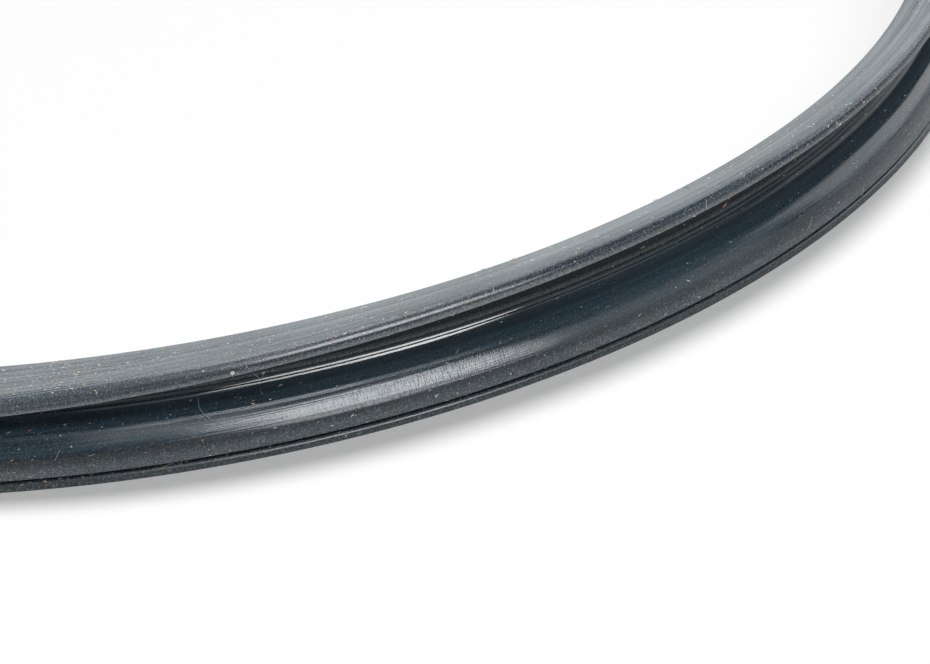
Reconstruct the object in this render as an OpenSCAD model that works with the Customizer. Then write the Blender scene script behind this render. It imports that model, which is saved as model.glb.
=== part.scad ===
// Door gasket: one moulded rubber ring, drawn as a section and turned about Z.
// The section has a flared lip on top, a deep outward groove under it, a round
// shoulder below the groove, and a thin flap under a slit at the base.
// It lies on its flat base: Z = 0 is the base and Z is the ring's axis.

/* [Ring] */
// Diameter of the inner wall
bore_d = 236.2; // [120:0.2:400]
// Height of the inner wall
body_h = 12.9; // [10.4:0.1:20]
// Width of the foot, from the inner wall to the outside
foot_w = 6.9; // [5.7:0.05:10]

/* [Lip] */
// Length of the lip, from the inner wall to its nose
lip_w = 6.2; // [4.2:0.1:9]
// Thickness of the lip
lip_t = 2.1; // [1.6:0.1:3]
// Angle that the lip rises outwards
lip_rise = 22; // [0:1:30]
// Radius along the top of the nose
nose_r = 1.55; // [0.3:0.05:1.6]

/* [Groove] */
// Thickness of the web behind the groove
web_t = 1.9; // [1.2:0.1:2.4]
// Height of the ledge that is the groove's floor
ledge_h = 6.6; // [5.3:0.1:8]
// Radius between the ledge and the web
floor_r = 1; // [0.2:0.1:1.5]
// Radius between the web and the lip
root_r = 0.6; // [0.2:0.1:0.9]

/* [Shoulder] */
// Radius of the shoulder between the ledge and the skirt
shoulder_r = 3.65; // [1:0.05:4.4]

/* [Flap] */
// Thickness of the flap at the base
flap_t = 1.05; // [0.8:0.05:1.6]
// Height of the slit above the flap
slit_h = 0.45; // [0.2:0.05:0.5]
// Depth of the slit, from the outside
slit_depth = 3.6; // [1:0.1:5]
// Radius along the top of the flap's edge
flap_r = 0.35; // [0.1:0.05:0.5]

/* [Edges] */
// Radius of the inner edge at the top
inner_top_r = 0.4; // [0.2:0.05:0.8]
// Radius of the inner edge at the base
inner_base_r = 0.5; // [0.2:0.05:1]
// Radius left on the crisp edges where the mould halves meet
crisp_r = 0.15; // [0.05:0.05:0.25]

/* [Hidden] */

bore_r = bore_d / 2;
web_r = bore_r + web_t;
skirt_r = bore_r + foot_w;
slit_top = flap_t + slit_h;
slit_end = skirt_r - slit_depth;
shoulder_c = [skirt_r - shoulder_r, ledge_h - shoulder_r];

// The floor's radius is held to the room between the web and the shoulder
floor_fit_r = min(floor_r, shoulder_c.x - web_r);

// Steps along an arc of 90 degrees
fine = 14;
small = 6;

// Points along an arc, which runs clockwise where a1 is less than a0
function arc(c, r, a0, a1, steps) = [
    for (i = [0 : steps])
        let (a = a0 + (a1 - a0) * i / steps)
        c + r * [cos(a), sin(a)]
];

// A point given along the lip and square to it, from the lip's inner top edge
function on_lip(u, v) = [
    bore_r + u * cos(lip_rise) - v * sin(lip_rise),
    body_h + u * sin(lip_rise) + v * cos(lip_rise)
];

// Centre of an arc that touches the line v = face on the lip from below, at x
function under_lip(x, r, face) = [
    x,
    body_h + (face - r + (x - bore_r) * sin(lip_rise)) / cos(lip_rise)
];

// Leaves out a point that the next one repeats
function apart(points) = [
    for (i = [0 : len(points) - 1])
        if (norm(points[i] - points[(i + 1) % len(points)]) > 0.001) points[i]
];

// Foot: the base's two edges, then round the flap and into the slit
function foot_points() = concat(
    arc([bore_r + inner_base_r, inner_base_r], inner_base_r, 180, 270, small),
    arc([skirt_r - crisp_r, crisp_r], crisp_r, 270, 360, small),
    arc([skirt_r - flap_r, flap_t - flap_r], flap_r, 0, 90, small),
    arc([slit_end, flap_t + slit_h / 2], slit_h / 2, 270, 90, small),
    arc([skirt_r - crisp_r, slit_top + crisp_r], crisp_r, 270, 360, small)
);

// Groove: over the shoulder, along the ledge and up the web to the lip
function groove_points() = concat(
    arc(shoulder_c, shoulder_r, 0, 90, fine),
    arc([web_r + floor_fit_r, ledge_h + floor_fit_r], floor_fit_r, 270, 180, small),
    arc(under_lip(web_r + root_r, root_r, -lip_t), root_r, 180, 90 + lip_rise, small)
);

// Lip: its lower edge, its round nose and the inner edge
function lip_points() = concat(
    arc(on_lip(lip_w - crisp_r, crisp_r - lip_t), crisp_r, 270 + lip_rise, 360 + lip_rise, small),
    arc(on_lip(lip_w - nose_r, -nose_r), nose_r, lip_rise, 90 + lip_rise, fine),
    arc(under_lip(bore_r + inner_top_r, inner_top_r, 0), inner_top_r, 90 + lip_rise, 180, small)
);

module section() {
    polygon(apart(concat(foot_points(), groove_points(), lip_points())));
}

module door_gasket() {
    color("#2f3942")
        rotate_extrude($fn = 240)
            section();
}

door_gasket();
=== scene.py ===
import math
from functools import partial

import bpy
import numpy
from mathutils import Matrix, Vector


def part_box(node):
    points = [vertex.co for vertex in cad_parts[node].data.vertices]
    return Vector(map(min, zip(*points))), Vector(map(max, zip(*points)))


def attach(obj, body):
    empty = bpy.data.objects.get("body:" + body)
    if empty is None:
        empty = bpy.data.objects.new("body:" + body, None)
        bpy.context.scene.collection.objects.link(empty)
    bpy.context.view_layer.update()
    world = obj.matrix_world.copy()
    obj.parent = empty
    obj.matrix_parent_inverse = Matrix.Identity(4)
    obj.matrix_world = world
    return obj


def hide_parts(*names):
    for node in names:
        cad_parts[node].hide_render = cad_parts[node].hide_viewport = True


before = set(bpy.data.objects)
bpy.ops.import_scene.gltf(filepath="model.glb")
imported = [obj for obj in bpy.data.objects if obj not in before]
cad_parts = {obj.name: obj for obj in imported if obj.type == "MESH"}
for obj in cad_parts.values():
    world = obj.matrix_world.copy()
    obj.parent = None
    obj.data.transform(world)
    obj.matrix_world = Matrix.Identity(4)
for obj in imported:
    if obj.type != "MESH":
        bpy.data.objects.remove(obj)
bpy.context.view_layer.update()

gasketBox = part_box("door_gasket")
mm = 0.001
print("frame loaded")


def linear(hexColour):
    # sRGB hex to linear RGBA
    parts = [int(hexColour[i:i + 2], 16) / 255 for i in (1, 3, 5)]
    return [c / 12.92 if c <= 0.04045 else ((c + 0.055) / 1.055) ** 2.4 for c in parts] + [1]


def addObject(name, data):
    made = bpy.data.objects.new(name, data)
    bpy.context.scene.collection.objects.link(made)
    return made


def addNode(tree, kind, inputs=(), **settings):
    # inputs are values by name or number, or the first few in order;
    # a node or a socket is linked, and any other value is set on the input
    node = tree.nodes.new(kind)
    for name, value in settings.items():
        setattr(node, name, value)
    for name, value in inputs.items() if isinstance(inputs, dict) else enumerate(inputs):
        if isinstance(value, bpy.types.Node):
            value = value.outputs[0]
        if isinstance(value, bpy.types.NodeSocket):
            tree.links.new(value, node.inputs[name])
        else:
            node.inputs[name].default_value = value
    return node


def startNodes(owner):
    # empties the tree of a new material or world, and gives addNode for that tree
    owner.use_nodes = True
    owner.node_tree.nodes.clear()
    return partial(addNode, owner.node_tree)


# Camera: low and close, looking down past the outside of the ring's near side
view = {
    "back": 383.5 * mm,     # from the ring's axis, along -Y
    "up": 163.5 * mm,       # above the floor
    "down": 30.21,          # degrees below the horizon
    "right": 6.63,          # degrees towards +X
    "tilt": -6.40,          # degrees about the line of sight
    "lens": 103.7,          # and the sensor's width, in millimetres
    "sensor": 36,
    "nearest": 20 * mm,
}


def addCamera():
    data = bpy.data.cameras.new("camera")
    data.lens = view["lens"]
    data.sensor_width = view["sensor"]
    data.clip_start = view["nearest"]
    camera = addObject("camera", data)
    turn = Matrix.Rotation(math.radians(-view["right"]), 4, "Z")
    turn @= Matrix.Rotation(math.radians(90 - view["down"]), 4, "X")
    turn @= Matrix.Rotation(math.radians(view["tilt"]), 4, "Z")
    camera.matrix_world = Matrix.Translation((0, -view["back"], view["up"])) @ turn
    bpy.context.scene.camera = camera


addCamera()
bpy.context.scene.view_settings.view_transform = "Standard"
print("camera set")


# Lamps, placed by their direction from the ring's near side, in degrees, with sizes in metres.
# A softbox lights either the matt finish or the gloss, so each keeps its own plain level.
softboxes = {
    "fillBox": {"around": 25, "above": 50, "size": (0.9, 0.55), "radiance": 1.6, "unseenBy": "glossy"},
    "glintBox": {"around": 21, "above": 17, "size": (0.57, 0.6), "radiance": 16.5, "away": 0.9, "turned": 18},
    "roofBox": {"around": 31, "above": 80, "size": (0.45, 0.34), "radiance": 11, "turned": -31},
    "leftBox": {"around": -8, "above": 45, "size": (0.34, 0.7), "radiance": 2.4},
    "rightBox": {"around": 62, "above": 12, "size": (0.6, 0.42), "radiance": 1.5},
    "sideBox": {"around": 112, "above": 21, "size": (0.9, 0.6), "radiance": 2.6},
    "backBox": {"around": 173, "above": 4, "size": (1.4, 0.28), "radiance": 1.1, "away": 1.2},
}
plainBox = {"away": 1.0, "turned": 0, "unseenBy": "diffuse"}  # what a softbox has if it doesn't say
keyLight = {"around": 170, "above": 66.5, "spread": 20, "strength": 2.5}
room = {"level": 0.15, "colour": "#f4f6f8"}  # the level is how bright it is to the ring
nearSide = Vector((30 * mm, -120 * mm, 7 * mm))


def lampTurn(lamp):
    # a lamp shines along its own -Z, so its Z points back towards where it stands
    turn = Matrix.Rotation(math.radians(lamp["around"]), 4, "Z")
    return turn @ Matrix.Rotation(math.radians(90 - lamp["above"]), 4, "X")


def addSoftbox(name, box):
    data = bpy.data.lights.new(name, "AREA")
    data.shape = "RECTANGLE"
    data.size, data.size_y = box["size"]
    data.energy = box["radiance"] * math.pi * data.size * data.size_y
    lamp = addObject(name, data)
    turn = lampTurn(box) @ Matrix.Rotation(math.radians(box["turned"]), 4, "Z")
    lamp.matrix_world = Matrix.Translation(nearSide) @ turn @ Matrix.Translation((0, 0, box["away"]))
    setattr(lamp, "visible_" + box["unseenBy"], False)


def addKeyLight():
    # one distant lamp, high behind the ring: it gives the short soft shadow and no glint
    data = bpy.data.lights.new("keyLight", "SUN")
    data.energy = keyLight["strength"]
    data.angle = math.radians(keyLight["spread"])
    lamp = addObject("keyLight", data)
    lamp.matrix_world = lampTurn(keyLight)
    lamp.visible_glossy = False


def addRoom():
    # white to the camera, a dim room to the ring
    world = bpy.data.worlds.new("room")
    add = startNodes(world)
    path = add("ShaderNodeLightPath")
    level = add("ShaderNodeMix", {0: path.outputs["Is Camera Ray"], 2: room["level"], 3: 1.0})
    walls = add("ShaderNodeBackground", {"Color": linear(room["colour"]), "Strength": level})
    add("ShaderNodeOutputWorld", {"Surface": walls})
    bpy.context.scene.world = world


for name, box in softboxes.items():
    addSoftbox(name, {**plainBox, **box})
addKeyLight()
addRoom()
print("lights set")


# Floor: the lift is how much light the paper adds where it is looked at, and half is half its side
floorPaper = {"colour": "#e7e7e6", "lift": 0.185, "half": 4.0}


def makeFloorPaper():
    # matt white paper sweep: plain white to the eye, and it keeps the ring's shadow
    material = bpy.data.materials.new("mattPaper")
    add = startNodes(material)
    rays = add("ShaderNodeLightPath").outputs
    lift = rays["Is Camera Ray"]
    for operation, other in (("MAXIMUM", rays["Is Glossy Ray"]), ("MAXIMUM", rays["Is Transmission Ray"]),
                             ("MULTIPLY", floorPaper["lift"])):
        lift = add("ShaderNodeMath", (lift, other), operation=operation)
    paper = add("ShaderNodeBsdfDiffuse", {"Color": linear(floorPaper["colour"])})
    glow = add("ShaderNodeEmission", {"Strength": lift})
    both = add("ShaderNodeAddShader", (paper, glow))
    add("ShaderNodeOutputMaterial", {"Surface": both})
    return material


def addFloor():
    half = floorPaper["half"]
    mesh = bpy.data.meshes.new("floor")
    corners = [(-half, -half, 0), (half, -half, 0), (half, half, 0), (-half, half, 0)]
    mesh.from_pydata(corners, [], [(0, 1, 2, 3)])
    mesh.materials.append(makeFloorPaper())
    floor = addObject("floor", mesh)


addFloor()
print("floor laid")


# Gasket: the section of the moulded ring, in millimetres. Its main sizes are those of the CAD solid.
gasket = {
    "skirtRadius": gasketBox[1].x / mm,
    "footWidth": 6.9,
    "bodyHeight": 12.9,
    "lipWidth": 6.2,
    "lipThickness": 2.1,
    "noseRadius": 1.55,      # how far in from the tip and down from the top the nose starts
    "frontRadius": 1.15,     # the nose turns more tightly in front than on top
    "frontTurn": 40,         # degrees round the nose where that changes, from the lip's own direction
    "webThickness": 1.9,
    "ledgeHeight": 6.6,
    "rootRadius": 0.6,
    "shoulderRadius": 3.65,
    "flapThickness": 1.05,
    "slitHeight": 0.45,
    "slitDepth": 3.6,
    "flapRadius": 0.35,
    "innerTopRadius": 0.4,
    "innerBaseRadius": 0.5,
    "crispRadius": 0.12,
    # two mould lines on the nose, and their places in degrees round it
    "lineWidth": 0.12,
    "lineDepth": 0.05,
    "noseLines": (73.4, 83.5),
    # the shoulder is flatter half-way up, with a soft edge above that; the angles are where that changes
    "shoulderRadii": (3.65, 5.4, 2.1),
    "shoulderTurns": (15, 35, 50),
    # the step in the groove's floor: its width, the radius outside it, and the angle where that ends
    "floorStep": (0.26, 1.0, 200),
    # the soft edge above the step, as distances from the web and heights
    "stepEdge": ((0.13, 0.03), (0.12, 0.05), (0.075, 0.14), (0.04, 0.27), (0, 0.5)),
    "stepsAround": 520,
    # the lip's angle in degrees: even all round, with one long sag where it has been pressed down
    "evenRise": 21.6,
    "sag": 52,
    "sagFloor": -19,
    "sagBlend": 6.0,         # how softly the sag meets its floor
    "sagPlace": math.radians(-24),
    "sagSpread": math.radians(16),
    "ripple": 0.3,
    "rippleWaves": 5.0,      # round the ring, and where they start in radians
    "rippleStart": 4.0,
    "drawnRises": (-24, -16, -8, 0, 8, 16, 24),     # the angles at which the section is drawn
}

# The finish along the section: stretch, share of its length, colour, roughness, streaks, bloom and sheen,
# dust (low on the web it is a painted reflection), the dust that is added in the dirtiest part of the ring,
# shine, grains.
# Bloom and sheen is a lighter grey where the face looks up: partly the grey powder on old rubber,
# partly a painted reflection of the bright light from above.
finishStops = [
    ("innerBase", 0, "#37434c", 0.42, 0.4, 0, 0.1, 0, 1, 0),
    ("baseCorner", 0, "#384147", 0.45, 0.3, 0, 0.15, 0, 1, 0),
    ("baseCornerRun", 0.2, "#363f45", 0.4, 0.4, 0, 0.2, 0, 1, 0.9),
    ("baseCornerRun", 0.8, "#363f45", 0.34, 0.5, 0, 0.14, 0, 1, 0.8),
    ("flapEdge", 0.3, "#38434b", 0.28, 0.6, 0, 0.08, 0, 1, 0.5),
    ("flapEdge", 1, "#3c4851", 0.24, 0.7, 0, 0.06, 0, 1, 0.6),
    # inside the slit the colour is darker: painted shade
    ("flapEdgeRun", 0.15, "#283138", 0.5, 0.3, 0, 0.05, 0, 1, 0.6),
    ("slitRun", 0.5, "#283138", 0.5, 0.3, 0, 0, 0, 1, 0),
    ("slitCorner", 0.5, "#3a444b", 0.34, 0.4, 0, 0.42, 0, 1, 0.8),
    ("slitCornerRun", 0.3, "#38434b", 0.32, 0.4, 0, 0.36, 0, 1, 1),
    ("slitCornerRun", 0.7, "#37434b", 0.3, 0.5, 0, 0.22, 0, 1, 0.8),
    ("slitCornerRun", 1, "#343f47", 0.24, 0.6, 0, 0.12, 0, 1, 0.6),
    ("shoulder", 0.08, "#2d3740", 0.2, 0.8, 0, 0.05, 0, 1, 0.4),
    ("shoulder", 0.2, "#29343c", 0.17, 1, 0, 0, 0, 1, 0.3),
    ("shoulder", 0.42, "#34454f", 0.17, 1, 0, 0, 0, 1, 0.25),
    ("shoulder", 1, "#374b58", 0.17, 0.9, 0, 0, 0, 1, 0.25),
    ("ledgeEdge", 0.4, "#3b4f5b", 0.17, 0.8, 0, 0, 0, 1, 0.25),
    ("ledgeEdge", 1, "#455a67", 0.17, 0.5, 0, 0, 0, 1, 0.25),
    ("floorOuter", 0, "#44545f", 0.1, 0.05, 0, 0, 0, 1, 0.15),
    ("floorOuter", 0.3, "#44545f", 0.09, 0, 0, 0, 0, 2, 0.15),
    ("floorInner", 0.3, "#3a474f", 0.09, 0, 0, 0, 0, 1.75, 0.15),
    # up the web under the lip the colour is darker and shines less: painted shade in the groove
    ("floorInner", 0.8, "#242d33", 0.09, 0, 0, 0, 0, 0.35, 0.12),
    ("floorInnerRun", 0.02, "#1c2429", 0.14, 0.6, 0, 0.05, 0, 0.35, 0.12),
    # the dust here is a lighter band of painted reflection low on the web
    ("floorInnerRun", 0.12, "#1c2429", 0.14, 0.6, 0, 0.6, 0, 0.35, 0.12),
    ("floorInnerRun", 0.24, "#1a2228", 0.14, 0.6, 0, 0, 0, 0.35, 0.12),
    ("root", 0.5, "#1c2429", 0.14, 0.4, 0, 0, 0, 0.35, 0.1),
    ("rootRun", 0.8, "#2a3136", 0.3, 0.4, 0, 0.04, 0, 0.6, 0.3),
    ("lipCorner", 0.4, "#313c44", 0.4, 0.5, 0, 0.9, 0, 1, 1.2),
    ("lipCornerRun", 0.02, "#313c44", 0.3, 0.5, 0, 0.55, 0, 1, 0.9),
    ("lipCornerRun", 0.2, "#2b343c", 0.15, 0.2, 1, 0.04, 0.08, 0.5, 0.4),
    ("lipCornerRun", 0.9, "#2b343c", 0.15, 0.2, 1, 0, 0.08, 0.6, 0.4),
    ("noseFront", 0.3, "#36424d", 0.2, 0.6, 1, 0, 0.15, 1, 0.5),
    ("noseTurn", 0.2, "#3b4855", 0.2, 0.8, 1, 0.03, 0.26, 1, 0.5),
    ("noseTurn", 0.8, "#3b4855", 0.22, 0.8, 1, 0.1, 0.16, 1, 0.7),
    ("noseHigh", 0.5, "#343f48", 0.22, 0.9, 1, 0, 0.06, 1, 0.8),
    # two bands of heavier streaks, and of bloom and painted sheen, along the top of the lip
    *(("noseHighRun", share, "#343f48", 0.22, streaks, bloomAndSheen, 0, 0, 1, 0.9) for share, streaks, bloomAndSheen in (
        (0.2, 1, 1), (0.24, 1.4, 1.15), (0.28, 1, 1), (0.38, 0.9, 0.92), (0.46, 1, 1),
        (0.5, 1.4, 1.15), (0.54, 1, 1), (0.62, 0.9, 0.92), (0.7, 0.8, 1))),
    ("innerTop", 0.3, "#3c474f", 0.3, 0.5, 0.9, 0, 0, 1, 0.9),
    ("innerTopRun", 0.1, "#3b454d", 0.4, 0.4, 0, 0.08, 0, 1, 0.5),
    ("innerTopRun", 1, "#37434c", 0.42, 0.4, 0, 0.08, 0, 1, 0.4),
]


def arcPoint(centre, radius, angle):
    a = math.radians(angle)
    return (centre[0] + radius * math.cos(a), centre[1] + radius * math.sin(a))


def arcPoints(centre, radius, start, end, steps):
    return [arcPoint(centre, radius, start + (end - start) * i / steps) for i in range(steps + 1)]


def linePoints(centre, radius, at, width, depth):
    # a nick across an arc, where two parts of the mould met
    half = math.degrees(width / 2 / radius)
    nick = ((at - half, 0), (at, -depth), (at + half, 0))
    return [arcPoint(centre, radius + out, angle) for angle, out in nick]


def straightPoints(start, end, steps):
    # points strictly between the ends, with one close to each end to keep the shading crisp
    shares = [0.03] + [i / steps for i in range(1, steps)] + [0.97]
    return [tuple(a + (b - a) * s for a, b in zip(start, end)) for s in shares]


def sectionStretches(rise):
    # the outline, anticlockwise from the inner edge of the base, in named stretches
    g = gasket
    skirt = g["skirtRadius"]
    bore = skirt - g["footWidth"]
    web = bore + g["webThickness"]
    crisp = g["crispRadius"]
    slitTop = g["flapThickness"] + g["slitHeight"]
    slope = math.radians(rise)
    width = g["lipWidth"]

    def onLip(u, v):
        return (bore + u * math.cos(slope) - v * math.sin(slope),
                g["bodyHeight"] + u * math.sin(slope) + v * math.cos(slope))

    def underLip(x, radius, face):
        return (x, g["bodyHeight"] + (face - radius + (x - bore) * math.sin(slope)) / math.cos(slope))

    def shift(centre, angle, inner, outer):
        # the centre of the arc that follows on smoothly at this angle
        a = math.radians(angle)
        return (centre[0] + (inner - outer) * math.cos(a), centre[1] + (inner - outer) * math.sin(a))

    # the shoulder's last arc is the one that ends level with the ledge
    radii, turns = g["shoulderRadii"], (0, *g["shoulderTurns"])
    centres = [(skirt - radii[0], g["ledgeHeight"] - g["shoulderRadius"])]
    for i in (1, 2):
        centres.append(shift(centres[-1], turns[i], radii[i - 1], radii[i]))
    last = math.radians(turns[3])
    edge = arcPoint(centres[2], radii[2], turns[3])
    lastRadius = (g["ledgeHeight"] - edge[1]) / (1 - math.sin(last))
    centres.append((edge[0] - lastRadius * math.cos(last), g["ledgeHeight"] - lastRadius))
    shoulder = [point for i in range(3)
                for point in arcPoints(centres[i], radii[i], turns[i], turns[i + 1], 6)[:-1]]
    ledgeEdge = arcPoints(centres[3], lastRadius, turns[3], 90, 10)
    floorWide, floorRadius, floorPlace = g["floorStep"]
    floor = (web + floorWide + floorRadius, g["ledgeHeight"] + floorRadius)
    floorEdge = arcPoint(floor, floorRadius, floorPlace)
    front, turned = g["frontRadius"], math.radians(g["frontTurn"])
    top = (g["noseRadius"] - front * (1 - math.cos(turned))) / math.cos(turned)
    noseStart = front * math.sin(turned) + top * (1 - math.sin(turned))
    noseFront = onLip(width - front, -noseStart)
    noseTop = shift(noseFront, rise + g["frontTurn"], front, top)
    lineGap = math.degrees(g["lineWidth"] / top)
    line1, line2 = g["noseLines"]
    # each stretch is an arc or a mould line, with the steps of the straight run that follows it
    stretches = [
        ("innerBase", 5, arcPoints((bore + g["innerBaseRadius"], g["innerBaseRadius"]),
                                   g["innerBaseRadius"], 180, 270, 4)),
        ("baseCorner", 3, arcPoints((skirt - crisp, crisp), crisp, 270, 360, 3)),
        ("flapEdge", 3, arcPoints((skirt - g["flapRadius"], g["flapThickness"] - g["flapRadius"]),
                                  g["flapRadius"], 0, 90, 5)),
        ("slit", 2, arcPoints((skirt - g["slitDepth"], g["flapThickness"] + g["slitHeight"] / 2),
                              g["slitHeight"] / 2, 270, 90, 4)),
        ("slitCorner", 3, arcPoints((skirt - crisp, slitTop + crisp), crisp, 270, 360, 3)),
        ("shoulder", 0, shoulder),
        ("ledgeEdge", 3, ledgeEdge),
        ("floorOuter", 0, arcPoints(floor, floorRadius, 270, floorPlace + 2, 9) + [floorEdge]),
        ("floorInner", 9, [(web + across, floorEdge[1] + up) for across, up in g["stepEdge"]]),
        ("root", 4, arcPoints(underLip(web + g["rootRadius"], g["rootRadius"], -g["lipThickness"]),
                              g["rootRadius"], 180, 90 + rise, 4)),
        ("lipCorner", 1, arcPoints(onLip(width - crisp, crisp - g["lipThickness"]), crisp,
                                   270 + rise, 360 + rise, 4)),
        ("noseFront", 0, arcPoints(noseFront, front, rise, rise + g["frontTurn"], 10)),
        ("noseTurn", 0, arcPoints(noseTop, top, rise + g["frontTurn"] + 4, rise + line1 - lineGap, 7)),
        ("noseLine1", 0, linePoints(noseTop, top, rise + line1, g["lineWidth"], g["lineDepth"])),
        ("noseMid", 0, arcPoints(noseTop, top, rise + line1 + lineGap, rise + line2 - lineGap, 1)),
        ("noseLine2", 0, linePoints(noseTop, top, rise + line2, g["lineWidth"], g["lineDepth"])),
        ("noseHigh", 25, arcPoints(noseTop, top, rise + line2 + lineGap, rise + 90, 1)),
        ("innerTop", 6, arcPoints(underLip(bore + g["innerTopRadius"], g["innerTopRadius"], 0),
                                  g["innerTopRadius"], 90 + rise, 180, 5)),
    ]
    filled = []
    for i, (name, steps, points) in enumerate(stretches):
        filled.append((name, points))
        if steps:
            following = stretches[(i + 1) % len(stretches)][2][0]
            filled.append((name + "Run", straightPoints(points[-1], following, steps)))
    return filled


def makeSectionRows():
    # one row of points for each lip angle, in the plane of -Y and Z, closed on its first point;
    # every row has the finish of the even angle
    rows = []
    for rise in gasket["drawnRises"]:
        row = [p for _, points in sectionStretches(rise) for p in points]
        rows += row + row[:1]
    even = sectionStretches(gasket["evenRise"])
    spans, lengths, length = {}, [], 0
    last = even[0][1][0]
    for name, points in even:
        for p in points:
            length += math.dist(last, p)
            lengths.append(length)
            spans[name] = (spans.get(name, (length, 0))[0], length)
            last = p
    lengths.append(length + math.dist(last, even[0][1][0]))

    stops = [(spans[name][0] + share * (spans[name][1] - spans[name][0]), linear(colour)[:3] + values)
             for name, share, colour, *values in finishStops]
    stops.append((lengths[-1], stops[0][1]))
    places = [place for place, _ in stops]
    finish = [[float(numpy.interp(at, places, [values[i] for _, values in stops])) for i in range(10)]
              for at in lengths]

    mesh = bpy.data.meshes.new("section")
    mesh.from_pydata([(0, -r * mm, z * mm) for r, z in rows], [], [])
    count = len(gasket["drawnRises"])
    attributes = {
        "across": ("FLOAT", "value", [length * mm for length in lengths] * count),
        "tint": ("FLOAT_COLOR", "color", [v for f in finish for v in (*f[:3], 1)] * count),
        "finish": ("FLOAT_VECTOR", "vector", [v for f in finish for v in f[3:6]] * count),
        "dirt": ("FLOAT_VECTOR", "vector", [v for f in finish for v in f[6:9]] * count),
        "grains": ("FLOAT", "value", [f[9] for f in finish] * count),
    }
    for name, (kind, field, values) in attributes.items():
        mesh.attributes.new(name, kind, "POINT").data.foreach_set(field, values)
    return mesh, len(lengths)


def startTree(name, inputs):
    # a tree with the geometry in and out and the named inputs: gives it, its addNode and its inputs
    tree = bpy.data.node_groups.new(name, "GeometryNodeTree")
    tree.interface.new_socket("Geometry", in_out="INPUT", socket_type="NodeSocketGeometry")
    tree.interface.new_socket("Geometry", in_out="OUTPUT", socket_type="NodeSocketGeometry")
    for socket, kind in inputs.items():
        tree.interface.new_socket(socket, in_out="INPUT", socket_type="NodeSocket" + kind)
    add = partial(addNode, tree)
    return tree, add, add("NodeGroupInput").outputs


def endTree(add, geometry, material):
    # every tree ends with real faces in one material
    real = add("GeometryNodeRealizeInstances", {"Geometry": geometry})
    done = add("GeometryNodeSetMaterial", {"Geometry": real, "Material": material})
    add("NodeGroupOutput", {"Geometry": done})


def runTree(name, source, tree, values):
    # runs the tree on the source's mesh and gives the result as a plain mesh object;
    # an input such as Sag Floor takes the value called sagFloor
    maker = addObject(name + "Maker", source)
    modifier = maker.modifiers.new("nodes", "NODES")
    modifier.node_group = tree
    for item in tree.interface.items_tree:
        value = item.name[0].lower() + item.name[1:].replace(" ", "")
        if item.item_type == "SOCKET" and item.in_out == "INPUT" and value in values:
            modifier[item.identifier] = values[value]
    bpy.context.view_layer.update()
    evaluated = maker.evaluated_get(bpy.context.evaluated_depsgraph_get())
    mesh = bpy.data.meshes.new_from_object(evaluated)
    mesh.name = name
    bpy.data.objects.remove(maker)
    return addObject(name, mesh)


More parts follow.
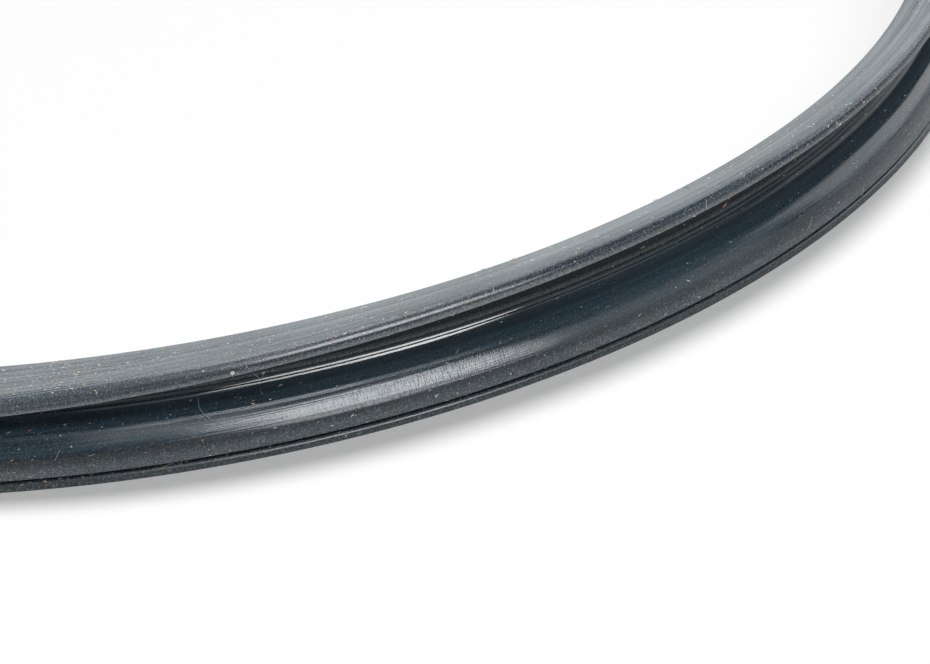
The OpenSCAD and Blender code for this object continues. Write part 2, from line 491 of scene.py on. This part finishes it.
def makeRingTree():
    # turns the rows of section points round the axis, with the lip's angle changing on the way
    tree, add, given = startTree("turnedSection", {
        "Steps Around": "Int", "Points Across": "Int", "Rows": "Int",
        "Lowest Rise": "Float", "Highest Rise": "Float", "Even Rise": "Float",
        "Sag": "Float", "Sag Floor": "Float", "Sag Place": "Float", "Sag Spread": "Float",
        "Ripple": "Float", "Material": "Material",
    })
    steps, points, section = given["Steps Around"], given["Points Across"], given["Geometry"]
    columns = add("ShaderNodeMath", (steps, 1.0), operation="ADD")
    grid = add("GeometryNodeMeshGrid", {"Vertices X": columns, "Vertices Y": points})
    index = add("GeometryNodeInputIndex")
    row = add("ShaderNodeMath", (index, points), operation="FLOORED_MODULO")
    column = add("ShaderNodeMath", (index, row), operation="SUBTRACT")
    column = add("ShaderNodeMath", (column, points), operation="DIVIDE")
    turn = add("ShaderNodeMath", (column, steps), operation="DIVIDE")
    turn = add("ShaderNodeMath", (turn, math.tau, -math.pi), operation="MULTIPLY_ADD")

    # the lip's angle: its even rise, less one long sag, and a slow ripple
    fromSag = add("ShaderNodeMath", (turn, given["Sag Place"]), operation="SUBTRACT")
    fromSag = add("ShaderNodeMath", (fromSag, math.pi, -math.pi), operation="WRAP")
    fromSag = add("ShaderNodeMath", (fromSag, given["Sag Spread"]), operation="DIVIDE")
    bell = add("ShaderNodeMath", (fromSag,), operation="COSH")
    bell = add("ShaderNodeMath", (given["Sag"], bell), operation="DIVIDE")
    rise = add("ShaderNodeMath", (given["Even Rise"], bell), operation="SUBTRACT")
    rise = add("ShaderNodeMath", (rise, given["Sag Floor"], gasket["sagBlend"]), operation="SMOOTH_MAX")
    wave = add("ShaderNodeMath", (turn, gasket["rippleWaves"], gasket["rippleStart"]),
               operation="MULTIPLY_ADD")
    wave = add("ShaderNodeMath", (wave,), operation="SINE")
    rise = add("ShaderNodeMath", (wave, given["Ripple"], rise), operation="MULTIPLY_ADD")

    # the drawn rows on either side of that angle, and the share between them
    last = add("ShaderNodeMath", (given["Rows"], 1.0), operation="SUBTRACT")
    place = add("ShaderNodeMapRange", {"Value": rise, "From Min": given["Lowest Rise"],
                                       "From Max": given["Highest Rise"], "To Max": last})
    lower = add("ShaderNodeMath", (place,), operation="FLOOR")
    share = add("ShaderNodeMath", (place, lower), operation="SUBTRACT")
    start = add("ShaderNodeMath", (lower, points, row), operation="MULTIPLY_ADD")
    position = add("GeometryNodeInputPosition")
    ends = []
    for rowOn in (0.0, 1.0):
        at = add("ShaderNodeMath", (points, rowOn, start), operation="MULTIPLY_ADD")
        ends.append(add("GeometryNodeSampleIndex", {"Geometry": section, "Value": position, "Index": at},
                        data_type="FLOAT_VECTOR"))
    between = add("ShaderNodeMix", {0: share, 4: ends[0], 5: ends[1]}, data_type="VECTOR")
    turned = add("ShaderNodeVectorRotate", {"Vector": between.outputs[1], "Angle": turn},
                 rotation_type="Z_AXIS")
    shaped = add("GeometryNodeSetPosition", {"Geometry": grid, "Position": turned})

    # the finish goes with the section's points
    carried = (("tint", "FLOAT_COLOR"), ("finish", "FLOAT_VECTOR"), ("dirt", "FLOAT_VECTOR"),
               ("grains", "FLOAT"))
    for name, kind in carried:
        named = add("GeometryNodeInputNamedAttribute", {"Name": name}, data_type=kind)
        taken = add("GeometryNodeSampleIndex", {"Geometry": section, "Value": named, "Index": row},
                    data_type=kind)
        shaped = add("GeometryNodeStoreNamedAttribute", {"Geometry": shaped, "Name": name, "Value": taken},
                     data_type=kind)

    # the map that the streaks follow: metres around the ring, and metres across the section
    named = add("GeometryNodeInputNamedAttribute", {"Name": "across"})
    across = add("GeometryNodeSampleIndex", {"Geometry": section, "Value": named, "Index": row})
    around = add("ShaderNodeMath", (turn, gasket["skirtRadius"] * mm), operation="MULTIPLY")
    onPoints = add("ShaderNodeCombineXYZ", {"X": around, "Y": across})
    onPoints = add("GeometryNodeFieldOnDomain", (onPoints,), data_type="FLOAT_VECTOR", domain="POINT")
    mapped = add("GeometryNodeStoreNamedAttribute",
                 {"Geometry": shaped, "Name": "surface", "Value": onPoints},
                 data_type="FLOAT2", domain="CORNER")
    # the seam where the turn starts and ends is closed, and so is the section's
    closed = add("GeometryNodeMergeByDistance", {"Geometry": mapped, "Distance": 1e-6})
    smooth = add("GeometryNodeSetShadeSmooth", {"Geometry": closed})
    endTree(add, smooth, given["Material"])
    return tree


# Rubber's skin, with the size of each fine pattern in millimetres and places in degrees round the ring
skin = {
    "ior": 1.41,
    "shine": 0.5,              # the usual specular level
    # bloom and sheen: partly grey powder, partly a painted reflection of the bright light from above
    "bloomColour": "#8b9296",
    "bloomRoughness": 0.42,
    "bloomFrom": 48,           # degrees above the horizon that a face has to look
    "bloomTo": 78,
    "bloomWander": 0.1,        # how far the streaks move that edge
    "fineStreak": (30, 0.18),  # along the ring, across the section
    "wideStreak": (90, 0.7),
    "streakShade": 2.2,        # how much the streaks change the colour, the roughness and the relief
    "streakGloss": 0.28,
    "streakRelief": 2.1,
    "grain": 0.22,
    "grainShade": 1.4,         # the grain's part in the mottle of the colour, against the blotches'
    "grainRelief": 0.12,
    "blotch": 17,
    "mottle": 0.8,
    "contrast": 0.7,           # of the streaks and the mottle together
    "relief": 0.016,
    "tick": (0.17, 1.1),       # matt marks across the ring, finer on the real mould and drawn to show
    "tickEdge": (0.5, 0.66),   # how much noise starts a mark, and makes it full
    "tickRoughness": 0.3,
    "tickShade": 0.4,          # how much less they shine
    "mostTicks": (12, 4.5),    # where they are, and their spread
    "keenest": (13, 9),        # where the groove's floor shines most, and its spread
    "keenShine": (0.6, -0.4),  # what is added there and everywhere
    # the dust colour also paints a band of reflection low on the web
    "dustColour": "#9ba4a8",
    "dustBreak": (2.4, -0.2),  # how the grain breaks up the dust
    "dirtiest": (-14, 9),      # where the most dust is, and its spread
    "speck": 0.17,             # specks of dust too small to be modelled
    "speckEdge": (0.62, 0.67),
    "speckCover": 0.9,
}


def addBell(add, along, place, spread):
    # 1 at the place and fading away from it, in degrees round the ring, from metres along it
    metres = gasket["skirtRadius"] * mm * math.radians(1)
    off = add("ShaderNodeMath", (along, 1 / (spread * metres), -place / spread), operation="MULTIPLY_ADD")
    off = add("ShaderNodeMath", (off,), operation="COSH")
    return add("ShaderNodeMath", (1.0, off), operation="DIVIDE")


def makeRubber():
    # silicone rubber, moulded and used: dark blue-grey, satin on its skin, and a matt lighter grey where the
    # face looks up, partly bloom and partly painted sheen, with fine lines round the ring from the turned
    # mould
    material = bpy.data.materials.new("mouldedRubber")
    add = startNodes(material)

    # finish holds roughness, streaks, and bloom with painted sheen; the other holds dust (low on the web a
    # painted reflection), heaped dust and shine
    tint = add("ShaderNodeAttribute", attribute_name="tint")
    finish = add("ShaderNodeAttribute", attribute_name="finish").outputs["Vector"]
    dirt = add("ShaderNodeAttribute", attribute_name="dirt").outputs["Vector"]
    surface = add("ShaderNodeUVMap", uv_map="surface")
    coordinates = add("ShaderNodeTexCoord").outputs
    place = coordinates["Object"]
    finish, dirt, surface, level, facing = (
        add("ShaderNodeSeparateXYZ", (vector,)).outputs
        for vector in (finish, dirt, surface, place, coordinates["Normal"]))

    # streaks run round the ring: slow along X and Y, quick across the section
    streaks = []
    for along, across in (skin["fineStreak"], skin["wideStreak"]):
        flat = add("ShaderNodeCombineXYZ", {"X": level["X"], "Y": level["Y"]})
        flat = add("ShaderNodeVectorMath", {0: flat, "Scale": 1 / (along * mm)}, operation="SCALE")
        up = add("ShaderNodeMath", (surface["Y"], 1 / (across * mm)), operation="MULTIPLY")
        up = add("ShaderNodeCombineXYZ", {"Z": up})
        both = add("ShaderNodeVectorMath", (flat, up), operation="ADD")
        streaks.append(add("ShaderNodeTexNoise",
                           {"Vector": both, "Scale": 1.0, "Detail": 2.0, "Roughness": 0.6}))
    fine, wide = streaks
    along, across = skin["tick"]
    ticks = add("ShaderNodeCombineXYZ", {"X": surface["X"], "Y": surface["Y"]})
    ticks = add("ShaderNodeVectorMath", (ticks, (1 / (along * mm), 1 / (across * mm), 0)),
                operation="MULTIPLY")
    ticks = add("ShaderNodeTexNoise", {"Vector": ticks, "Scale": 1.0, "Detail": 1.0}, noise_dimensions="2D")
    ticked = addBell(add, surface["X"], *skin["mostTicks"])
    ticked = add("ShaderNodeMath", (ticked, finish["Y"]), operation="MULTIPLY")
    grain = add("ShaderNodeTexNoise", {"Vector": place, "Scale": 1 / (skin["grain"] * mm), "Detail": 1.0})
    blotch = add("ShaderNodeTexNoise", {"Vector": place, "Scale": 1 / (skin["blotch"] * mm), "Detail": 2.0})

    # bloom and sheen: a lighter grey where the face looks up, if the finish has any there;
    # partly grey powder, partly a painted reflection of the bright light from above
    wander = skin["bloomWander"]
    edge = add("ShaderNodeMath", (fine, wander, -wander / 2), operation="MULTIPLY_ADD")
    edge = add("ShaderNodeMath", (facing["Z"], edge), operation="ADD")
    low, high = (math.sin(math.radians(skin[angle])) for angle in ("bloomFrom", "bloomTo"))
    bloomAndSheen = add("ShaderNodeMapRange", {"Value": edge, "From Min": low, "From Max": high},
                interpolation_type="SMOOTHSTEP")
    bloomAndSheen = add("ShaderNodeMath", (bloomAndSheen, finish["Z"]), operation="MULTIPLY")
    colour = add("ShaderNodeMix", {"Factor": bloomAndSheen, 6: tint.outputs["Color"], 7: linear(skin["bloomColour"])},
                 data_type="RGBA", clamp_factor=False).outputs[2]
    gloss = add("ShaderNodeMix", {0: bloomAndSheen, 2: finish["X"], 3: skin["bloomRoughness"]})

    # every pattern, less its mean, makes the colour lighter and darker, and the streaks change the gloss
    shade = fine
    for operation, other in (("ADD", wide), ("ADD", -1.0), ("MULTIPLY", skin["streakShade"]),
                             ("MULTIPLY", finish["Y"])):
        shade = add("ShaderNodeMath", (shade, other), operation=operation)
    grained = add("ShaderNodeMath", (grain, skin["grainShade"], blotch), operation="MULTIPLY_ADD")
    grained = add("ShaderNodeMath", (grained, -(skin["grainShade"] + 1) / 2), operation="ADD")
    shade = add("ShaderNodeMath", (grained, skin["mottle"], shade), operation="MULTIPLY_ADD")
    shade = add("ShaderNodeMath", (shade, skin["contrast"], 1.0), operation="MULTIPLY_ADD")
    colour = add("ShaderNodeVectorMath", {0: colour, "Scale": shade}, operation="SCALE")
    uneven = add("ShaderNodeMath", (fine, -0.5), operation="ADD")
    gloss = add("ShaderNodeMath", (uneven, skin["streakGloss"], gloss), operation="MULTIPLY_ADD")
    low, high = skin["tickEdge"]
    marked = add("ShaderNodeMapRange", {"Value": ticks, "From Min": low, "From Max": high})
    marked = add("ShaderNodeMath", (marked, ticked), operation="MULTIPLY")
    gloss = add("ShaderNodeMix", {0: marked, 2: gloss, 3: skin["tickRoughness"]})

    # relief: streaks and ticks on the skin
    raised = add("ShaderNodeMath", (ticks, ticked), operation="MULTIPLY")
    relief = add("ShaderNodeMath", (fine, skin["streakRelief"]), operation="MULTIPLY")
    relief = add("ShaderNodeMath", (relief, finish["Y"], raised), operation="MULTIPLY_ADD")
    relief = add("ShaderNodeMath", (grain, skin["grainRelief"], relief), operation="MULTIPLY_ADD")
    bump = add("ShaderNodeBump", {"Distance": skin["relief"] * mm, "Height": relief})

    # shine is a share of the usual level; above 1 it marks the groove's floor, which is glossy in one stretch
    usual = add("ShaderNodeMath", (dirt["Z"], 1.0), operation="MINIMUM")
    extra = add("ShaderNodeMath", (dirt["Z"], usual), operation="SUBTRACT")
    keen = addBell(add, surface["X"], *skin["keenest"])
    keen = add("ShaderNodeMath", (keen, 2.0), operation="POWER")
    there, everywhere = skin["keenShine"]
    keen = add("ShaderNodeMath", (keen, there, everywhere), operation="MULTIPLY_ADD")
    keen = add("ShaderNodeMath", (keen, extra), operation="MULTIPLY")
    shine = add("ShaderNodeMath", (usual, skin["shine"], keen), operation="MULTIPLY_ADD")
    dimmed = add("ShaderNodeMath", (marked, -skin["tickShade"], 1.0), operation="MULTIPLY_ADD")
    shine = add("ShaderNodeMath", (shine, dimmed), operation="MULTIPLY")
    clean = add("ShaderNodeBsdfPrincipled", {"Base Color": colour, "Roughness": gloss, "IOR": skin["ior"],
                                             "Normal": bump, "Specular IOR Level": shine})

    # settled dust lies over the skin in a thin, broken, quite matt layer, thicker in the dirtiest part;
    # low on the web the same layer is a lighter band of painted reflection
    near = addBell(add, surface["X"], *skin["dirtiest"])
    near = add("ShaderNodeMath", (dirt["Y"], near), operation="MULTIPLY")
    dustAndReflection = add("ShaderNodeMath", (dirt["X"], near), operation="ADD")
    broken, less = skin["dustBreak"]
    cover = add("ShaderNodeMath", (grain, broken, less), operation="MULTIPLY_ADD")
    cover = add("ShaderNodeMath", (dustAndReflection, cover), operation="MULTIPLY", use_clamp=True)
    grainy = add("ShaderNodeAttribute", attribute_name="grains").outputs["Fac"]
    specks = add("ShaderNodeTexNoise", {"Vector": place, "Scale": 1 / (skin["speck"] * mm), "Detail": 0.0})
    low, high = skin["speckEdge"]
    specks = add("ShaderNodeMapRange", {"Value": specks, "From Min": low, "From Max": high})
    specks = add("ShaderNodeMath", (specks, grainy), operation="MULTIPLY")
    cover = add("ShaderNodeMath", (specks, skin["speckCover"], cover), operation="MULTIPLY_ADD",
                use_clamp=True)
    dustAndReflectionLayer = add("ShaderNodeBsdfDiffuse", {"Color": linear(skin["dustColour"])})
    both = add("ShaderNodeMixShader", (cover, clean, dustAndReflectionLayer))
    add("ShaderNodeOutputMaterial", {"Surface": both})
    return material


sectionMesh, pointsAcross = makeSectionRows()
ring = runTree("gasket_ring", sectionMesh, makeRingTree(), {
    **gasket,
    "pointsAcross": pointsAcross,
    "rows": len(gasket["drawnRises"]),
    "lowestRise": gasket["drawnRises"][0],
    "highestRise": gasket["drawnRises"][-1],
    "material": makeRubber(),
})
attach(ring, "root")
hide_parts("door_gasket")
print("ring made:", len(ring.data.polygons), "faces,", pointsAcross, "points across")


# Dust grains: flat chips strewn over the ring, with a few placed ones. Sizes are half-widths.
# A placed one is: degrees round the ring, radius and height on it, its own size, shade.
dust = {
    "perSquareMetre": 1050000,
    "seed": 7,
    "smallest": 0.04 * mm,
    "largest": 0.12 * mm,
    "rarity": 4,             # a higher power makes the larger ones rarer
    "stretch": (0.9, 1.8),   # squared, and no chip is stretched to more than the longest
    "longest": 0.3 * mm,
    "narrowing": -0.4,       # the power of the stretch that gives a chip's width
    "flatness": 0.5,
    "spin": 0.6,             # radians either way from along the ring
    "clearOfFloor": 0.6 * mm,
    "patchesPerMetre": 90,
    "patchEdge": (0.35, 0.65),
    "patchCover": (0.3, 1.7),
    "heap": 4,               # how many times more lie on upward faces where the ring is dirtiest
    "heapPlace": math.radians(-14),
    "heapSpread": math.radians(9),
    "upward": 0.8,           # the least Z of such a face's normal
    "placedSize": 0.6,       # of the size given for each
    "shades": ((0, "#f4f1e8"), (0.42, "#bcc3c6"), (0.64, "#cdb797"), (0.86, "#cf9766"), (0.94, "#cf9f94")),
    "placed": [
        (1.67, 124.32, 11.41, 0.46, 0), (2.43, 124.32, 11.79, 0.2, 0.7), (7.47, 125, 3.01, 0.2, 0.1),
        (11.82, 124.95, 3.53, 0.17, 0.2), (12.15, 125, 2.62, 0.2, 0.3), (29.52, 120.61, 13.72, 0.24, 0.7),
        (32.47, 120.01, 13.55, 0.24, 0.2), (2.1, 123.25, 6.07, 0.14, 0.2), (2.6, 123.95, 5.5, 0.2, 0.1),
        (33.6, 120, 8.69, 0.26, 0.9), (33.76, 120, 8.75, 0.2, 0.95), (-0.28, 124.01, 12.1, 0.22, 0.7),
        (-10.33, 124.79, 4.15, 0.22, 0.9), (41.04, 124.26, 13.91, 0.3, 0.1),
        (41.19, 124.18, 14.03, 0.26, 0.7), (41.48, 124.16, 14.06, 0.24, 0.9),
        (41.86, 124.15, 14.07, 0.17, 0.7), (41.92, 124.48, 13.46, 0.24, 0.95),
        (42.08, 124.56, 13.26, 0.3, 0.5), (41.83, 124.4, 13.67, 0.26, 0.8), (41.61, 124.12, 14.1, 0.2, 0.95),
    ],
}


def strewPoints(add, ring, given, clear, *parts):
    # points strewn over the ring as thickly as its finish and each part say, none near the floor
    density = add("GeometryNodeInputNamedAttribute", {"Name": "grains"})
    position = add("GeometryNodeInputPosition")
    height = add("ShaderNodeSeparateXYZ", (position,)).outputs["Z"]
    above = add("ShaderNodeMath", (height, clear), operation="GREATER_THAN")
    for part in (*parts, above, given["Per Square Metre"]):
        density = add("ShaderNodeMath", (density, part), operation="MULTIPLY")
    return add("GeometryNodeDistributePointsOnFaces",
               {"Mesh": ring, "Density": density, "Seed": given["Seed"]})


def makeGrainTree():
    # strews flat chips over the ring, and puts a larger one at each vertex that comes in
    tree, add, given = startTree("strewnGrains", {
        "Ring": "Object", "Per Square Metre": "Float", "Seed": "Int", "Smallest": "Float",
        "Largest": "Float", "Heap": "Float", "Heap Place": "Float", "Heap Spread": "Float",
        "Material": "Material",
    })
    ring = add("GeometryNodeObjectInfo", {"Object": given["Ring"]}).outputs["Geometry"]
    position = add("GeometryNodeInputPosition")
    normal = add("GeometryNodeInputNormal")

    # they lie in patches, and more of them where the ring is dirtiest
    patches = add("ShaderNodeTexNoise", {"Vector": position, "Scale": dust["patchesPerMetre"], "Detail": 2.0})
    (low, high), (least, most) = dust["patchEdge"], dust["patchCover"]
    patches = add("ShaderNodeMapRange",
                  {"Value": patches, "From Min": low, "From Max": high, "To Min": least, "To Max": most})
    at = add("ShaderNodeSeparateXYZ", (position,)).outputs
    behind = add("ShaderNodeMath", (at["Y"], -1.0), operation="MULTIPLY")
    turn = add("ShaderNodeMath", (at["X"], behind), operation="ARCTAN2")
    turn = add("ShaderNodeMath", (turn, given["Heap Place"]), operation="SUBTRACT")
    turn = add("ShaderNodeMath", (turn, given["Heap Spread"]), operation="DIVIDE")
    heap = add("ShaderNodeMath", (turn,), operation="COSH")
    heap = add("ShaderNodeMath", (given["Heap"], heap), operation="DIVIDE")
    up = add("ShaderNodeSeparateXYZ", (normal,)).outputs["Z"]
    up = add("ShaderNodeMath", (up, dust["upward"]), operation="GREATER_THAN")
    heap = add("ShaderNodeMath", (heap, up, 1.0), operation="MULTIPLY_ADD")
    strewn = strewPoints(add, ring, given, dust["clearOfFloor"], patches, heap)

    # most are small, and a few are several times larger
    size = add("FunctionNodeRandomValue", {"Seed": 1}).outputs[1]
    size = add("ShaderNodeMath", (size, dust["rarity"]), operation="POWER")
    size = add("ShaderNodeMapRange", {"Value": size, "To Min": given["Smallest"], "To Max": given["Largest"]})
    shade = add("FunctionNodeRandomValue", {"Seed": 2}).outputs[1]
    for name, value in (("size", size), ("shade", shade)):
        strewn = add("GeometryNodeStoreNamedAttribute", {"Geometry": strewn, "Name": name, "Value": value})
    placed = add("GeometryNodeMeshToPoints", {"Mesh": given["Geometry"]})
    joined = add("GeometryNodeJoinGeometry", {"Geometry": strewn})
    tree.links.new(placed.outputs[0], joined.inputs[0])

    # each lies flat on the skin, turned and stretched at random
    facing = add("GeometryNodeSampleNearestSurface", {"Mesh": ring, "Value": normal},
                 data_type="FLOAT_VECTOR")
    along = add("ShaderNodeVectorMath", (position, (0.0, 0.0, 1.0)), operation="CROSS_PRODUCT")
    along = add("FunctionNodeAlignRotationToVector", {"Vector": along}, axis="X")
    flat = add("FunctionNodeAlignRotationToVector", {"Rotation": along, "Vector": facing}, axis="Z",
               pivot_axis="X")
    spin = add("FunctionNodeRandomValue", {2: -dust["spin"], 3: dust["spin"], "Seed": 3})
    spin = add("FunctionNodeAxisAngleToRotation", {"Angle": spin.outputs[1]})
    lying = add("FunctionNodeRotateRotation", {"Rotation": flat, "Rotate By": spin}, rotation_space="LOCAL")
    named = add("GeometryNodeInputNamedAttribute", {"Name": "size"})
    least, most = dust["stretch"]
    long = add("FunctionNodeRandomValue", {2: least, 3: most, "Seed": 4})
    long = add("ShaderNodeMath", (long.outputs[1], 2.0), operation="POWER")
    longest = add("ShaderNodeMath", (dust["longest"], named), operation="DIVIDE")
    long = add("ShaderNodeMath", (long, longest), operation="MINIMUM")
    wide = add("ShaderNodeMath", (long, dust["narrowing"]), operation="POWER")
    form = add("ShaderNodeCombineXYZ", {"X": long, "Y": wide, "Z": dust["flatness"]})
    form = add("ShaderNodeVectorMath", {0: form, "Scale": named}, operation="SCALE")
    chip = add("GeometryNodeMeshUVSphere", {"Segments": 5, "Rings": 2})
    chips = add("GeometryNodeInstanceOnPoints",
                {"Points": joined, "Instance": chip, "Rotation": lying, "Scale": form})
    endTree(add, chips, given["Material"])
    return tree


# Debris: the finish that grains and fibres have in common
debris = {
    "roughness": 0.8,
    "mottlePerMetre": 5000.0,
    "mottle": (0.7, 0.6),    # how much it changes the colour, and the least of it that is left
    "relief": 0.02 * mm,
    "reliefStrength": 0.5,
}


def makeDebris(name, shades):
    # bits of dust and fluff, dry and quite matt: pale, tan or rust, each of one colour
    material = bpy.data.materials.new(name)
    add = startNodes(material)
    shade = add("ShaderNodeAttribute", attribute_name="shade")
    ramp = add("ShaderNodeValToRGB", (shade.outputs["Fac"],))
    ramp.color_ramp.interpolation = "CONSTANT"
    for i, (start, colour) in enumerate(shades):
        stop = ramp.color_ramp.elements[i] if i < 2 else ramp.color_ramp.elements.new(start)
        stop.position = start
        stop.color = linear(colour)
    place = add("ShaderNodeTexCoord").outputs["Object"]
    mottle = add("ShaderNodeTexNoise", {"Vector": place, "Scale": debris["mottlePerMetre"], "Detail": 1.0})
    change, least = debris["mottle"]
    darker = add("ShaderNodeMath", (mottle, change, least), operation="MULTIPLY_ADD")
    colour = add("ShaderNodeVectorMath", {0: ramp, "Scale": darker}, operation="SCALE")
    bump = add("ShaderNodeBump",
               {"Strength": debris["reliefStrength"], "Distance": debris["relief"], "Height": mottle})
    rough = add("ShaderNodeBsdfPrincipled",
                {"Base Color": colour, "Roughness": debris["roughness"], "Normal": bump})
    add("ShaderNodeOutputMaterial", {"Surface": rough})
    return material


def onRing(turn, radius, height):
    a = math.radians(turn)
    return (radius * math.sin(a) * mm, -radius * math.cos(a) * mm, height * mm)


def addValues(mesh, **values):
    # one value on each vertex, under each name
    for name, each in values.items():
        mesh.attributes.new(name, "FLOAT", "POINT").data.foreach_set("value", each)


placedGrains = bpy.data.meshes.new("placedGrains")
placedGrains.from_pydata([onRing(*grain[:3]) for grain in dust["placed"]], [], [])
addValues(placedGrains, size=[grain[3] * dust["placedSize"] * mm for grain in dust["placed"]],
          shade=[grain[4] for grain in dust["placed"]])
grains = runTree("dust_grains", placedGrains, makeGrainTree(), {
    **dust, "ring": ring, "material": makeDebris("dustGrain", dust["shades"])})
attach(grains, "root")
print("grains strewn:", len(grains.data.polygons), "faces")


# Lint: fine fibres that lie on the skin, strewn, with some placed ones.
# A placed one is its shade, then its points: degrees round the ring, radius and height.
lint = {
    "perSquareMetre": 11000,
    "seed": 3,
    "shortest": 0.4 * mm,
    "longest": 1.8 * mm,
    "thickness": 0.08 * mm,  # finer on a real fibre, and drawn this thick to show
    "sides": 4,
    "bend": 0.5 * mm,
    "bendsPerMetre": 900,
    "points": 10,            # along a strewn fibre, and along a placed one
    "placedPoints": 14,
    "clearOfFloor": 1.4 * mm,
    "shades": ((0, "#c9ccca"), (0.4, "#b4bdbd"), (0.7, "#c4b596"), (0.9, "#cf9450")),
    "placed": [
        (0.5, [(-0.3, 120.64, 6.67), (-0.32, 121.61, 6.59), (-0.32, 122.46, 6.43), (-0.2, 123.09, 6.16),
               (0, 123.54, 5.87), (0.17, 123.91, 5.55)]),
        (0.5, [(-0.31, 124.26, 11.34), (-0.34, 124.3, 11.1), (-0.36, 124.3, 10.8)]),
        (0.6, [(2.86, 120, 8.43), (3.04, 120, 7.87), (3.21, 120, 7.52), (3.37, 120, 7.84),
               (3.52, 120, 8.31)]),
        (0.95, [(9.79, 124.99, 3.15), (9.77, 125, 2.76), (9.67, 125, 2.42), (9.57, 125, 2.22)]),
        (0.75, [(-3.05, 124.52, 1.05), (-2.93, 124.92, 0.92), (-2.69, 124.89, 0.95), (-2.47, 124.7, 1.04),
                (-2.26, 124.57, 1.05), (-2.1, 124.5, 1.05)]),
        (0.5, [(-1.89, 124.48, 1.05), (-1.77, 124.86, 0.97), (-1.68, 124.51, 1.05), (-1.73, 125, 1.65)]),
        (0.1, [(16.17, 123.98, 13.6), (16.07, 124.22, 13.33), (15.92, 124.37, 13.05)]),
        (0.6, [(-7.78, 124.5, 4.79), (-7.94, 124.74, 4.31), (-8.1, 124.9, 3.78)]),
        (0.2, [(-6.35, 124.88, 3.85), (-6.22, 124.87, 3.89), (-6.01, 124.85, 3.97)]),
        (0.3, [(38.69, 124.9, 3.81), (38.5, 124.97, 3.38), (38.38, 125, 2.95), (38.18, 125, 2.73)]),
        (0.1, [(30.27, 124.17, 13.87), (30.12, 124.36, 13.6), (30.07, 124.51, 13.22)]),
        (0.5, [(3.04, 121.5, 6.59), (3.12, 122.21, 6.5)]),
        (0.8, [(44.95, 124.09, 14.15), (44.74, 124.25, 13.96), (44.79, 124.38, 13.73)]),
    ],
}


def makeLintTree():
    # strews short fibres over the ring, adds those that come in as edges, and lays them all on the skin
    tree, add, given = startTree("looseLint", {
        "Ring": "Object", "Per Square Metre": "Float", "Seed": "Int", "Shortest": "Float",
        "Longest": "Float", "Thickness": "Float", "Bend": "Float", "Material": "Material",
    })
    ring = add("GeometryNodeObjectInfo", {"Object": given["Ring"]}).outputs["Geometry"]
    position = add("GeometryNodeInputPosition")
    normal = add("GeometryNodeInputNormal")
    points = strewPoints(add, ring, given, lint["clearOfFloor"])
    shade = add("FunctionNodeRandomValue", {"Seed": 1}).outputs[1]
    shaded = add("GeometryNodeStoreNamedAttribute", {"Geometry": points, "Name": "shade", "Value": shade})
    spin = add("FunctionNodeRandomValue", {2: 0.0, 3: math.tau, "Seed": 2})
    spin = add("FunctionNodeAxisAngleToRotation", {"Angle": spin.outputs[1]})
    lying = add("FunctionNodeRotateRotation", {"Rotation": points.outputs["Rotation"], "Rotate By": spin},
                rotation_space="LOCAL")
    length = add("FunctionNodeRandomValue", {2: given["Shortest"], 3: given["Longest"], "Seed": 3})
    line = add("GeometryNodeCurvePrimitiveLine", {"Start": (-0.5, 0, 0), "End": (0.5, 0, 0)})
    line = add("GeometryNodeResampleCurve", {"Curve": line, "Count": lint["points"]})
    lines = add("GeometryNodeInstanceOnPoints",
                {"Points": shaded, "Instance": line, "Rotation": lying, "Scale": length.outputs[1]})
    loose = add("GeometryNodeRealizeInstances", {"Geometry": lines})
    wander = add("ShaderNodeTexNoise", {"Vector": position, "Scale": lint["bendsPerMetre"], "Detail": 1.0})
    wander = add("ShaderNodeVectorMath", (wander.outputs["Color"], (0.5, 0.5, 0.5)), operation="SUBTRACT")
    wander = add("ShaderNodeVectorMath", {0: wander, "Scale": given["Bend"]}, operation="SCALE")
    bent = add("GeometryNodeSetPosition", {"Geometry": loose, "Offset": wander})
    placed = add("GeometryNodeMeshToCurve", {"Mesh": given["Geometry"]})
    placed = add("GeometryNodeCurveSplineType", {"Curve": placed}, spline_type="CATMULL_ROM")
    placed = add("GeometryNodeResampleCurve", {"Curve": placed, "Count": lint["placedPoints"]})
    joined = add("GeometryNodeJoinGeometry", {"Geometry": bent})
    tree.links.new(placed.outputs[0], joined.inputs[0])

    # laid on the nearest skin, with the middle of each fibre its own thickness above it
    nearest = add("GeometryNodeProximity", {"Geometry": ring}, target_element="FACES")
    facing = add("GeometryNodeSampleNearestSurface", {"Mesh": ring, "Value": normal},
                 data_type="FLOAT_VECTOR")
    lift = add("ShaderNodeVectorMath", {0: facing, "Scale": given["Thickness"]}, operation="SCALE")
    on = add("ShaderNodeVectorMath", (nearest.outputs["Position"], lift), operation="ADD")
    laid = add("GeometryNodeSetPosition", {"Geometry": joined, "Position": on})
    half = add("ShaderNodeMath", (given["Thickness"], 0.5), operation="MULTIPLY")
    profile = add("GeometryNodeCurvePrimitiveCircle", {"Resolution": lint["sides"], "Radius": half})
    solid = add("GeometryNodeCurveToMesh", {"Curve": laid, "Profile Curve": profile, "Fill Caps": True})
    endTree(add, solid, given["Material"])
    return tree


fibrePoints, fibreEdges, fibreShades = [], [], []
for shade, line in lint["placed"]:
    first = len(fibrePoints)
    fibrePoints += [onRing(*point) for point in line]
    fibreEdges += [(i, i + 1) for i in range(first, first + len(line) - 1)]
    fibreShades += [shade] * len(line)
placedLint = bpy.data.meshes.new("placedLint")
placedLint.from_pydata(fibrePoints, fibreEdges, [])
addValues(placedLint, shade=fibreShades)
fibres = runTree("lint_fibres", placedLint, makeLintTree(), {
    **lint, "ring": ring, "material": makeDebris("lintFibre", lint["shades"])})
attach(fibres, "root")
print("lint laid:", len(fibres.data.polygons), "faces")
